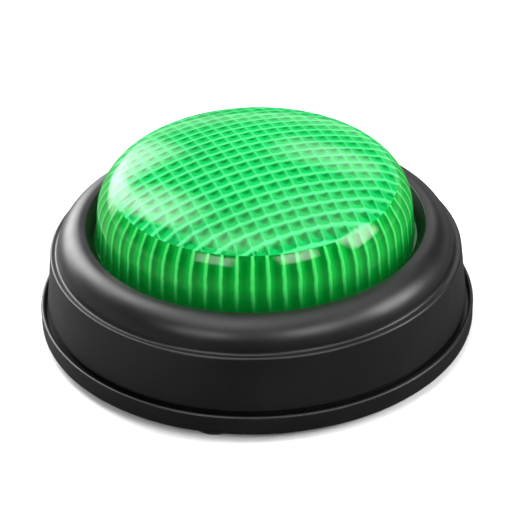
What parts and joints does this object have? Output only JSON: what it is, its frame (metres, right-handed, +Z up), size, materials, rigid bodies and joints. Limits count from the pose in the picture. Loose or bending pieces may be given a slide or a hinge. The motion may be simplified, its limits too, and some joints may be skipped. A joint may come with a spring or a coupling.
{
  "type": "quiz buzzer",
  "caption": "Round table-top quiz buzzer with a black shell and a green clear dome button that is pressed down; light and sound parts and a battery bay inside.",
  "frame": {"origin": "centre of the footprint, on the plane the feet rest on", "axes": "+Z up along the button's axis of travel, -Y towards the player"},
  "size_m": [0.09, 0.09, 0.04],
  "materials": {
    "black_shell": "satin moulded black",
    "green_lens": "polished clear green, ribbed inside",
    "foot_rubber": "matt moulded rubber",
    "white_plastic": "satin moulded white",
    "reflector_card": "coated white card",
    "spring_steel": "drawn spring wire",
    "board_green": "solder mask on glass fibre",
    "black_part": "satin moulded black",
    "red_plastic": "moulded red",
    "clear_led": "clear epoxy",
    "epoxy_black": "poured epoxy",
    "capacitor_blue": "printed sleeve",
    "resistor_tan": "lacquer",
    "speaker_steel": "plated",
    "magnet_iron": "plated",
    "cone_film": "formed film",
    "contact_nickel": "nickel plate",
    "red_lead": "soft sleeve",
    "black_lead": "soft sleeve",
    "cell_jacket": "plain printed sleeve",
    "zinc_screw": "bright zinc plate"
  },
  "bodies": {
    "shell": {"upper_housing": "black_shell", "base_plate": "black_shell", "circuit_board": "board_green", "switch_body": "black_part", "sound_chip": "epoxy_black", "capacitor": "capacitor_blue", "speaker_basket": "speaker_steel", "speaker_magnet": "magnet_iron", "speaker_retainer": "black_part", "contact_positive": "contact_nickel", "contact_negative": "contact_nickel", "contact_bridge": "contact_nickel", "battery_wire_red": "red_lead", "battery_wire_black": "black_lead", "speaker_wire_1": "red_lead", "speaker_wire_2": "black_lead", "led_1": "clear_led", "rubber_foot_1": "foot_rubber", "housing_screw_1": "zinc_screw", "led_2": "clear_led", "rubber_foot_2": "foot_rubber", "housing_screw_2": "zinc_screw", "led_3": "clear_led", "rubber_foot_3": "foot_rubber", "housing_screw_3": "zinc_screw", "led_4": "clear_led", "rubber_foot_4": "foot_rubber", "housing_screw_4": "zinc_screw", "battery_1": "cell_jacket", "battery_spring_1": "spring_steel", "board_screw_1": "zinc_screw", "retainer_screw_1": "zinc_screw", "resistor_1": "resistor_tan", "battery_2": "cell_jacket", "battery_spring_2": "spring_steel", "board_screw_2": "zinc_screw", "retainer_screw_2": "zinc_screw", "resistor_2": "resistor_tan"},
    "button": {"lens_dome": "green_lens", "button_carrier": "white_plastic", "reflector_disc": "reflector_card", "return_spring": "spring_steel"},
    "plunger": {"switch_plunger": "red_plastic"},
    "cone": {"speaker_cone": "cone_film"},
    "door": {"battery_door": "black_shell", "battery_door_screw": "zinc_screw"}
  },
  "joints": [
    {"name": "button_press", "type": "slide", "parent": "shell", "child": "button", "axis": [0, 0, -1], "range_m": [0, 0.003], "stiffness_N_per_m": 400, "springref_m": -0.002, "deforming": ["return_spring"]},
    {"name": "switch_click", "type": "slide", "parent": "shell", "child": "plunger", "axis": [0, 0, -1], "range_m": [0, 0.00025]},
    {"name": "cone_travel", "type": "slide", "parent": "shell", "child": "cone", "axis": [0, 0, 1], "range_m": [-0.0003, 0.0003]},
    {"name": "door_swing", "type": "hinge", "parent": "shell", "child": "door", "pos_m": [0, -0.0266, 0.0034], "axis": [-1, 0, 0], "range_deg": [0, 25]}
  ],
  "couplings": [
    {"joint": "switch_click", "follows": "button_press", "ratio": 0.0833}
  ]
}
